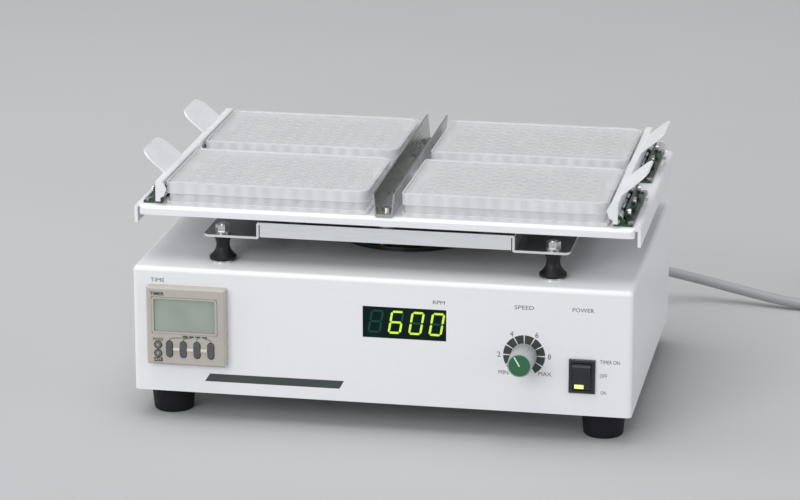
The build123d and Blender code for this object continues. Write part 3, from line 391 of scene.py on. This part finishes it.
def mesh_of(obj):
    """The final mesh of a curve or text object, which is then removed."""
    bpy.context.view_layer.update()
    mesh = bpy.data.meshes.new_from_object(obj.evaluated_get(bpy.context.evaluated_depsgraph_get()))
    mesh.transform(obj.matrix_world)
    bpy.data.objects.remove(obj)
    return mesh


def add_word(bm, text, left, right, middle, height, surface_y, weight=0.0):
    """A printed word on a surface that faces -Y, fitted between left and right in x."""
    curve = bpy.data.curves.new("word", "FONT")
    curve.body = text
    curve.size = 1.0
    curve.extrude = 0.5
    curve.offset = weight
    curve.resolution_u = 3
    obj = bpy.data.objects.new("word", curve)
    bpy.context.scene.collection.objects.link(obj)
    mesh = mesh_of(obj)
    xs = [v.co.x for v in mesh.vertices]
    ys = [v.co.y for v in mesh.vertices]
    sx = (right - left) / (max(xs) - min(xs))
    sy = height / (max(ys) - min(ys))
    for v in mesh.vertices:
        x = left + (v.co.x - min(xs)) * sx
        z = middle - height / 2 + (v.co.y - min(ys)) * sy
        v.co = (x, surface_y - INK / 2 - v.co.z * INK, z)
    bm.from_mesh(mesh)
    bpy.data.meshes.remove(mesh)


# ---------------------------------------------------------------- panel printing
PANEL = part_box("case_cover")[0].y
LEGENDS = (("TIME", -145.1, -136.1, 90.3, 2.4), ("RPM", 33.2, 40.6, 85.5, 2.4),
           ("SPEED", 83.8, 95.8, 85.3, 2.5), ("POWER", 119.5, 132.7, 85.5, 2.5),
           ("MIN.", 74.3, 81.1, 43.1, 2.5), ("MAX.", 99.0, 107.6, 43.4, 2.5),
           ("TIMER ON", 136.8, 149.0, 53.2, 2.4), ("OFF", 136.8, 141.4, 44.3, 2.3),
           ("ON", 137.4, 140.8, 33.4, 2.3))
words = bmesh.new()
for text, left, right, middle, height in LEGENDS:
    add_word(words, text, left * MM, right * MM, middle * MM, height * MM, PANEL)
NUMERAL_R = 15.6 * MM
NUMERAL_HALF_WIDTH = 1.05 * MM
for text, angle in (("2", -90), ("4", -30), ("6", 30), ("8", 90)):
    a = math.radians(angle)
    x = KNOB.x + NUMERAL_R * math.sin(a)
    z = KNOB.z + NUMERAL_R * math.cos(a)
    add_word(words, text, x - NUMERAL_HALF_WIDTH, x + NUMERAL_HALF_WIDTH, z, 3.4 * MM, PANEL)
from_bmesh("panel_legends", words, "legend_ink", "base")

STRIP = ((-111.2, 25.8), (-25.5, 26.0), (-22.6, 31.2), (-107.9, 30.9))
strip = bmesh.new()
add_plate(strip, [(x * MM, z * MM) for x, z in STRIP], PANEL)
from_bmesh("panel_strip", strip, "strip_ink", "base")

dial = bmesh.new()
RING_R = 13.0 * MM
RING_INNER_R = 7.6 * MM
for k in range(-5, 5):
    start = math.radians(30 * k + 1.7)
    end = math.radians(30 * k + 28.3)
    arc = [start + (end - start) * i / 8 for i in range(9)]
    outer = [(KNOB.x + RING_R * math.sin(a), KNOB.z + RING_R * math.cos(a)) for a in arc]
    inner = [(KNOB.x + RING_INNER_R * math.sin(a), KNOB.z + RING_INNER_R * math.cos(a))
             for a in reversed(arc)]
    add_plate(dial, outer + inner, PANEL)
from_bmesh("dial_ring", dial, "dial_ink", "base")

# ---------------------------------------------------------------- display digits
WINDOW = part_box("display_window")[0].y
DIGIT_H = 14.9 * MM
DIGIT_W = 8.3 * MM
STROKE = 1.35 * MM
SLANT = math.tan(math.radians(9.5))
DIGIT_BOTTOM = 63.8 * MM
DIGIT_TOP = DIGIT_BOTTOM + DIGIT_H
DIGIT_MIDDLE = DIGIT_BOTTOM + DIGIT_H / 2
BAR_GAP = 0.22 * MM
DIGITS = ((-7.9, ""), (4.8, "afgedc"), (17.6, "abcdef"), (30.3, "abcdef"))


def add_bar(bm, x0, x1, z0, z1):
    """A display bar with pointed ends, leaning with its digit."""
    if x1 - x0 > z1 - z0:
        mid = (z0 + z1) / 2
        tip = (z1 - z0) / 2
        outline = [(x0, mid), (x0 + tip, z0), (x1 - tip, z0), (x1, mid), (x1 - tip, z1), (x0 + tip, z1)]
    else:
        mid = (x0 + x1) / 2
        tip = (x1 - x0) / 2
        outline = [(mid, z0), (x1, z0 + tip), (x1, z1 - tip), (mid, z1), (x0, z1 - tip), (x0, z0 + tip)]
    add_plate(bm, [(x + (z - DIGIT_BOTTOM) * SLANT, z) for x, z in outline], WINDOW)


lit_bars = bmesh.new()
dark_bars = bmesh.new()
for left, shown in DIGITS:
    x0 = left * MM
    x1 = x0 + DIGIT_W
    inset = STROKE / 2 + BAR_GAP
    level = (x0 + inset, x1 - inset)
    upper = (DIGIT_MIDDLE + BAR_GAP, DIGIT_TOP - inset)
    lower = (DIGIT_BOTTOM + inset, DIGIT_MIDDLE - BAR_GAP)
    bars = {"a": (*level, DIGIT_TOP - STROKE, DIGIT_TOP),
            "g": (*level, DIGIT_MIDDLE - STROKE / 2, DIGIT_MIDDLE + STROKE / 2),
            "d": (*level, DIGIT_BOTTOM, DIGIT_BOTTOM + STROKE),
            "f": (x0, x0 + STROKE, *upper), "b": (x1 - STROKE, x1, *upper),
            "e": (x0, x0 + STROKE, *lower), "c": (x1 - STROKE, x1, *lower)}
    for bar, spans in bars.items():
        add_bar(lit_bars if bar in shown else dark_bars, *spans)
from_bmesh("display_digits_lit", lit_bars, "lit_segment", "base")
from_bmesh("display_digits_unlit", dark_bars, "unlit_segment", "base")

# ---------------------------------------------------------------- timer face
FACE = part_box("timer_bezel")[0].y
SMALL_BUTTONS = ("mode_button", "reset_button")
timer_print_and_gap_shade = bmesh.new()


def add_block(bm, x0, x1, z0, z1):
    """A printed rectangle on the timer, from its edges in mm."""
    add_plate(bm, [(x0 * MM, z0 * MM), (x1 * MM, z0 * MM), (x1 * MM, z1 * MM), (x0 * MM, z1 * MM)], FACE)


add_word(timer_print_and_gap_shade, "TIMER", -143.9 * MM, -135.0 * MM, 83.4 * MM, 2.1 * MM, FACE, weight=0.01)
add_word(timer_print_and_gap_shade, "MODE", -142.4 * MM, -136.0 * MM, 53.7 * MM, 1.7 * MM, FACE)
DASH_BOTTOM = 55.9
for x0, x1 in ((-123.3, -120.2), (-119.3, -116.2), (-115.2, -112.2), (-111.0, -107.9)):
    add_block(timer_print_and_gap_shade, x0, x1, DASH_BOTTOM, 56.7)
# a thin line leads from above each key to its dash under the display
LINE = 0.14 * MM
keys = [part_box("timer_key_%d" % (i + 1)) for i in range(4)]
for (low, high), to_x in zip(keys, (-120.6, -117.6, -113.6, -109.2)):
    x = (low.x + high.x) / 2
    z = high.z + 0.45 * MM
    points = [(x, z), (x, z + 0.9 * MM), (x + (to_x * MM - x) * 0.25, 55.0 * MM),
              (to_x * MM, 55.5 * MM), (to_x * MM, DASH_BOTTOM * MM)]
    for (ax, az), (bx, bz) in zip(points, points[1:]):
        run = Vector((bx - ax, bz - az)).normalized() * LINE
        add_plate(timer_print_and_gap_shade, [(ax - run.y, az + run.x), (ax + run.y, az - run.x),
                                (bx + run.y, bz - run.x), (bx - run.y, bz + run.x)], FACE)
add_block(timer_print_and_gap_shade, -141.8, -136.6, 39.3, 41.8)
# a dark ring round each small button, painted shade in the gap between button and face, in short lengths that
# overlap a little
RING_STEP = 15
RING_IN, RING_OUT = 2.18, 2.62
for name in SMALL_BUTTONS:
    middle = sum(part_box(name), Vector()) / 2
    for start in range(0, 360, RING_STEP):
        a, b = math.radians(start), math.radians(start + RING_STEP + 0.01)
        add_plate(timer_print_and_gap_shade, [(middle.x + r * MM * math.cos(t), middle.z + r * MM * math.sin(t))
                                for r, t in ((RING_IN, a), (RING_OUT, a), (RING_OUT, b), (RING_IN, b))],
                  FACE)
from_bmesh("timer_legends_and_gap_shade", timer_print_and_gap_shade, "timer_ink_and_gap_shade", "base")
# the word on the dark block, whose own face is INK above the timer's
reset_word = bmesh.new()
add_word(reset_word, "RST", -141.0 * MM, -137.4 * MM, 40.55 * MM, 1.4 * MM, FACE - INK * 1.1)
from_bmesh("timer_reset_legend", reset_word, "timer_ridge", "base")

# a pale pip in the middle of each small button
PIP_R = 0.6 * MM
for name in SMALL_BUTTONS:
    low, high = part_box(name)
    pip = bmesh.new()
    bmesh.ops.create_uvsphere(pip, u_segments=16, v_segments=10, radius=PIP_R)
    for v in pip.verts:
        v.co = (v.co.x + (low.x + high.x) / 2, v.co.y * 0.3 + low.y, v.co.z + (low.z + high.z) / 2)
    from_bmesh(name + "_pip", pip, "timer_grey", name, smooth=True)

# the moulded ridge that runs between the keys
ridge = bmesh.new()
KEY_Z = (keys[0][0].z + keys[0][1].z) / 2
KEY_CLEAR = 0.3 * MM
for (_, high), (next_low, _) in zip(keys, keys[1:]):
    x0 = high.x + KEY_CLEAR
    x1 = next_low.x - KEY_CLEAR
    rows = []
    for i in range(9):
        a = math.pi * i / 8
        z = KEY_Z + 1.1 * MM * math.cos(a)
        y = FACE - 0.45 * MM * math.sin(a)
        rows.append((ridge.verts.new((x0, y, z)), ridge.verts.new((x1, y, z))))
    for (a, b), (c, d) in zip(rows, rows[1:]):
        ridge.faces.new((a, b, d, c))
    ridge.faces.new([r[0] for r in rows])
    ridge.faces.new([r[1] for r in reversed(rows)])
from_bmesh("timer_key_ridge", ridge, "timer_ridge", "base")

# ---------------------------------------------------------------- rocker lamp
ROCKER_LOW, ROCKER_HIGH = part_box("switch_rocker")
# the lower face of the rocker at rest runs from LAMP_LOW along LAMP_UP
LAMP_LOW = Vector((0, -109.457, 35.02)) * MM
LAMP_UP = (Vector((0, -110.6, 42.7)) * MM - LAMP_LOW).normalized()
LAMP_OUT = Vector((0, -LAMP_UP.z, LAMP_UP.y))
LAMP_X = (ROCKER_LOW.x + ROCKER_HIGH.x) / 2
LAMP_CORNERS = ((-4.4, 0.8), (1.2, 0.8), (1.2, 3.4), (-4.4, 3.4))
lamp = bmesh.new()
corners = []
for lift, inset in ((0.0, 0.0), (0.25, 0.0), (0.4, 0.25)):
    ring = []
    for u, v in LAMP_CORNERS:
        du = inset if u < 0 else -inset
        dv = inset if v < 2 else -inset
        place = Vector((LAMP_X + (u + du) * MM, 0, 0)) + LAMP_LOW
        ring.append(lamp.verts.new(place + LAMP_UP * (v + dv) * MM + LAMP_OUT * (lift - 0.05) * MM))
    corners.append(ring)
for low_ring, high_ring in zip(corners, corners[1:]):
    for i in range(4):
        j = (i + 1) % 4
        lamp.faces.new((low_ring[i], low_ring[j], high_ring[j], high_ring[i]))
lamp.faces.new(corners[-1])
lamp.faces.new(corners[0][::-1])
from_bmesh("rocker_lamp", lamp, "rocker_lamp", "power_rocker")

# ---------------------------------------------------------------- cross recesses, as painted shade
def add_cross(bm, centre, out, arm, width, rise):
    """The four arms of a cross recess as a thin dark sheet just on the head of a screw that faces along out:
    painted shade where the recess is.
    """
    out = Vector(out)
    along = out.orthogonal().normalized()
    across = out.cross(along)
    for u, v in ((along, across), (across, along)):
        for sign in (-1, 1):
            root = u * (sign * width * (0 if u == along else 1))
            a = centre + v * (-width) + root
            b = centre + v * width + root
            c = centre + v * (width * 0.55) + u * (sign * arm)
            d = centre + v * (-width * 0.55) + u * (sign * arm)
            low = [bm.verts.new(p - out * rise) for p in (a, b, c, d)]
            top = [bm.verts.new(p + out * rise) for p in (a, b, c, d)]
            bm.faces.new(low[::-1])
            bm.faces.new(top)
            for i in range(4):
                j = (i + 1) % 4
                bm.faces.new((low[i], low[j], top[j], top[i]))


HEAD_SIZE = 9.5 * MM


def heads(node, out, top):
    """Centres of a node's screw heads: the middles of its islands' end faces that reach top along out."""
    mesh = NODES[node].data
    bm = bmesh.new()
    bm.from_mesh(mesh)
    bmesh.ops.remove_doubles(bm, verts=bm.verts, dist=1e-6)
    out = Vector(out)
    seen = set()
    found = []
    for start in bm.verts:
        if start in seen:
            continue
        group = []
        stack = [start]
        seen.add(start)
        while stack:
            v = stack.pop()
            group.append(v)
            for e in v.link_edges:
                w = e.other_vert(v)
                if w not in seen:
                    seen.add(w)
                    stack.append(w)
        reach = max(v.co.dot(out) for v in group)
        if abs(reach - top) < 0.0002:
            cap = [v.co for v in group if v.co.dot(out) > reach - 1e-5]
            low = Vector(map(min, *cap)) if len(cap) > 1 else cap[0]
            high = Vector(map(max, *cap)) if len(cap) > 1 else cap[0]
            if (high - low).length < HEAD_SIZE:
                found.append((low + high) / 2)
    bm.free()
    return found


for label, node, out, arm, body in (
        ("rear", "case_screws", (0, 1, 0), 1.7, "base"),
        ("under", "case_screws", (0, 0, -1), 1.7, "base"),
        ("channel", "deck_screws", (0, 0, 1), 1.9, "platform"),
        ("clamp_right", "bracket_screws", (1, 0, 0), 1.5, "platform"),
        ("clamp_left", "bracket_screws", (-1, 0, 0), 1.5, "platform")):
    low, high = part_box(node)
    way = Vector(out)
    top = max(low.dot(way), high.dot(way))
    crosses = bmesh.new()
    for centre in heads(node, out, top):
        add_cross(crosses, centre, out, arm * MM, 0.42 * MM, 0.03 * MM)
    from_bmesh("cross_recess_shade_" + label, crosses, "painted_recess_shade", body)

# ---------------------------------------------------------------- microplate rims and wells, with painted highlight
def rounded(low, high, inset, radii):
    """Points round a rectangle whose corners have the radii (left, right)."""
    x0, x1 = low.x + inset, high.x - inset
    y0, y1 = low.y + inset, high.y - inset
    left, right = radii
    points = []
    for cx, cy, r, start in ((x1 - right, y0 + right, right, -90), (x1 - right, y1 - right, right, 0),
                             (x0 + left, y1 - left, left, 90), (x0 + left, y0 + left, left, 180)):
        for k in range(9):
            a = math.radians(start + 90 * k / 8)
            points.append(Vector((cx + r * math.cos(a), cy + r * math.sin(a))))
    return points


def add_bead(bm, loop, z, r, sides=6):
    """A thin moulded bead along a closed loop of (x, y) points."""
    rings = []
    n = len(loop)
    for i, p in enumerate(loop):
        run = (loop[(i + 1) % n] - loop[i - 1]).normalized()
        out = Vector((run.y, -run.x))
        ring = []
        for k in range(sides):
            a = 2 * math.pi * k / sides
            ring.append(bm.verts.new((p.x + out.x * r * math.cos(a), p.y + out.y * r * math.cos(a),
                                      z + r * math.sin(a))))
        rings.append(ring)
    for a, b in zip(rings, rings[1:] + rings[:1]):
        for k in range(sides):
            j = (k + 1) % sides
            bm.faces.new((a[k], a[j], b[j], b[k]))


CORNER_R = 3.0 * MM
CUT_CORNER_R = 8.3 * MM
WELL_R = 3.75 * MM
WELL_COLUMNS, WELL_ROWS = 12, 8
for corner in CORNERS:
    body = "microplate_" + corner
    low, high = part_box(body)
    middle = (low + high) / 2
    # moulded beads on the rims and round the wells, coloured white as painted highlight
    rims = bmesh.new()
    for inset, z, r in ((0.42 * MM, high.z - 0.27 * MM, 0.26 * MM), (2.5 * MM, high.z - 0.32 * MM, 0.26 * MM),
                        (0.38 * MM, high.z - 6.9 * MM, 0.22 * MM)):
        add_bead(rims, rounded(low, high, inset, (CORNER_R, CUT_CORNER_R - inset * 0.8)), z, r)
    for z in (low.z + 2.3 * MM, low.z + 0.35 * MM):
        add_bead(rims, rounded(low, high, 0.3 * MM, (CORNER_R, CORNER_R)), z, 0.24 * MM)
    from_bmesh("plate_rim_highlights_" + corner, rims, "painted_rim_highlight", body, smooth=True)
    wells = bmesh.new()
    for i in range(WELL_COLUMNS):
        for j in range(WELL_ROWS):
            cx = middle.x + (i - (WELL_COLUMNS - 1) / 2) * WELL_PITCH
            cy = middle.y + (j - (WELL_ROWS - 1) / 2) * WELL_PITCH
            loop = [Vector((cx + WELL_R * math.cos(a), cy + WELL_R * math.sin(a)))
                    for a in map(math.radians, range(0, 360, 20))]
            add_bead(wells, loop, high.z - 1.62 * MM, 0.2 * MM, sides=4)
    from_bmesh("plate_well_highlights_" + corner, wells, "painted_rim_highlight", body, smooth=True)

# ---------------------------------------------------------------- mains cord
CORD_D = 7.0 * MM
COIL = Vector((304.0, 239.0)) * MM
# from the gland to the coil, and from the coil to the plug, in mm
ROUTE = ((98, 108, 41), (98, 150, 41), (120, 186, 30), (156, 203, 18), (195, 201, 10), (226, 194, 5.5),
         (253, 190, 3.6), (277.4, 190, 3.6))
TAIL = ((353, 247, 12.4), (353, 253, 15.4), (353, 259, 17.4), (353, 265.6, 17.6))
# the coil's radius and height in mm, by the angle run so far in degrees
COIL_START, COIL_END, STEP = -90, 1800, 15
RADII = ((-90, 49), (180, 49), (240, 42), (540, 42), (600, 35), (1140, 35), (1200, 42), (1500, 42),
         (1560, 49), (1800, 49))
RISE = ((-90, 3.6), (840, 3.6), (900, 10.7), (1800, 10.7))


def along(table, angle):
    """The table's value at an angle, eased between its rows."""
    for (a, x), (b, y) in zip(table, table[1:]):
        if a <= angle <= b:
            t = (angle - a) / (b - a)
            return x + (y - x) * t * t * (3 - 2 * t)
    return table[-1][1]


points = [Vector(p) * MM for p in ROUTE]
for angle in range(COIL_START, COIL_END + 1, STEP):
    r = along(RADII, angle) * MM
    a = math.radians(angle)
    points.append(Vector((COIL.x + r * math.cos(a), COIL.y + r * math.sin(a), along(RISE, angle) * MM)))
points += [Vector(p) * MM for p in TAIL]
route = bpy.data.curves.new("mains_flex", "CURVE")
route.dimensions = "3D"
route.bevel_depth = CORD_D / 2
route.bevel_resolution = 5
route.use_fill_caps = True
spline = route.splines.new("NURBS")
spline.points.add(len(points) - 1)
for slot, p in zip(spline.points, points):
    slot.co = (*p, 1)
spline.order_u = 3
spline.use_endpoint_u = True
spline.resolution_u = 8
route.materials.append(MATS["cord_grey"])
flex = bpy.data.objects.new("mains_flex", route)
bpy.context.scene.collection.objects.link(flex)
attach(flex, "base")
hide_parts("mains_cord", "mains_cord_coil")

# ---------------------------------------------------------------- stage
def sweep_stage():
    """A floor that curves up into a backdrop."""
    bm = bmesh.new()
    bend_y = 7.0
    radius = 1.2
    half_width = 9.0
    profile = [(-half_width, 0.0), (bend_y, 0.0)]
    for degrees in range(5, 91, 5):
        a = math.radians(degrees)
        profile.append((bend_y + radius * math.sin(a), radius - radius * math.cos(a)))
    profile.append((bend_y + radius, 5.0))
    rows = [(bm.verts.new((-half_width, y, z)), bm.verts.new((half_width, y, z))) for y, z in profile]
    for (a, b), (c, d) in zip(rows, rows[1:]):
        bm.faces.new((a, b, d, c))
    mesh = bpy.data.meshes.new("floor")
    bm.to_mesh(mesh)
    bm.free()
    for face in mesh.polygons:
        face.use_smooth = True
    floor = bpy.data.objects.new("floor", mesh)
    bpy.context.scene.collection.objects.link(floor)
    shade = Shade("paper")
    slow = shade.noise(even(3), detail=2.0)
    # painted light and shade: the paper is darker near the front and lighter towards the backdrop
    near_painted_shade = shade.ramp(slow, [(0.3, (0.46, 0.465, 0.475)), (0.7, (0.48, 0.485, 0.495))])
    back = shade.ramp(slow, [(0.3, (0.67, 0.665, 0.645)), (0.7, (0.69, 0.685, 0.665))])
    depth = shade.span(shade.parts()["Y"], 0.0, 1.0, -0.4, 2.0)
    shade.colour(shade.mix(depth, near_painted_shade, back))
    shade.set(Roughness=0.85)
    mesh.materials.append(shade.mat)


def area_light(name, place, target, size, power, colour):
    """A soft light at place, turned to target."""
    light = bpy.data.lights.new(name, "AREA")
    light.shape = "RECTANGLE"
    light.size, light.size_y = size
    light.energy = power
    light.color = colour
    obj = bpy.data.objects.new(name, light)
    obj.location = place
    obj.rotation_euler = (Vector(target) - Vector(place)).to_track_quat("-Z", "Y").to_euler()
    bpy.context.scene.collection.objects.link(obj)


sweep_stage()
world = bpy.data.worlds.new("studio")
bpy.context.scene.world = world
world.use_nodes = True
sky = world.node_tree.nodes["Background"].inputs
sky["Color"].default_value = (0.93, 0.95, 1.0, 1)
sky["Strength"].default_value = 0.5
area_light("key_overhead", (-0.25, -0.1, 1.7), (0, 0, 0.05), (1.9, 1.5), 16, (1.0, 0.995, 0.98))
area_light("front_fill", (-0.7, -2.2, 1.1), (0, 0, 0.08), (1.6, 1.2), 21, (0.98, 0.99, 1.0))
area_light("left_fill", (-1.8, -0.3, 0.7), (0, 0, 0.1), (1.2, 1.2), 6, (1, 1, 1))
area_light("right_fill", (1.9, -0.5, 0.6), (0.1, 0, 0.08), (1.2, 1.0), 6, (0.98, 0.99, 1.0))

# ---------------------------------------------------------------- camera
# fitted to the photograph
CAMERA_AT = (0.36407, -2.01018, 0.68578)
YAW = math.radians(10.4653)
PITCH = math.radians(16.3643)
ROLL = math.radians(0.0231)
FOCAL_PX = 3300.0
IMAGE_WIDTH = 800
view = Vector((-math.sin(YAW) * math.cos(PITCH), math.cos(YAW) * math.cos(PITCH), -math.sin(PITCH)))
side = Vector((math.cos(YAW), math.sin(YAW), 0))
up = side.cross(view)
side, up = (side * math.cos(ROLL) + up * math.sin(ROLL), up * math.cos(ROLL) - side * math.sin(ROLL))
camera_data = bpy.data.cameras.new("camera")
camera_data.sensor_width = 36.0
camera_data.lens = FOCAL_PX * camera_data.sensor_width / IMAGE_WIDTH
camera_data.clip_end = 50
camera = bpy.data.objects.new("camera", camera_data)
camera.matrix_world = Matrix.Translation(CAMERA_AT) @ Matrix((side, up, -view)).transposed().to_4x4()
bpy.context.scene.collection.objects.link(camera)
bpy.context.scene.camera = camera
bpy.context.scene.view_settings.view_transform = "Standard"
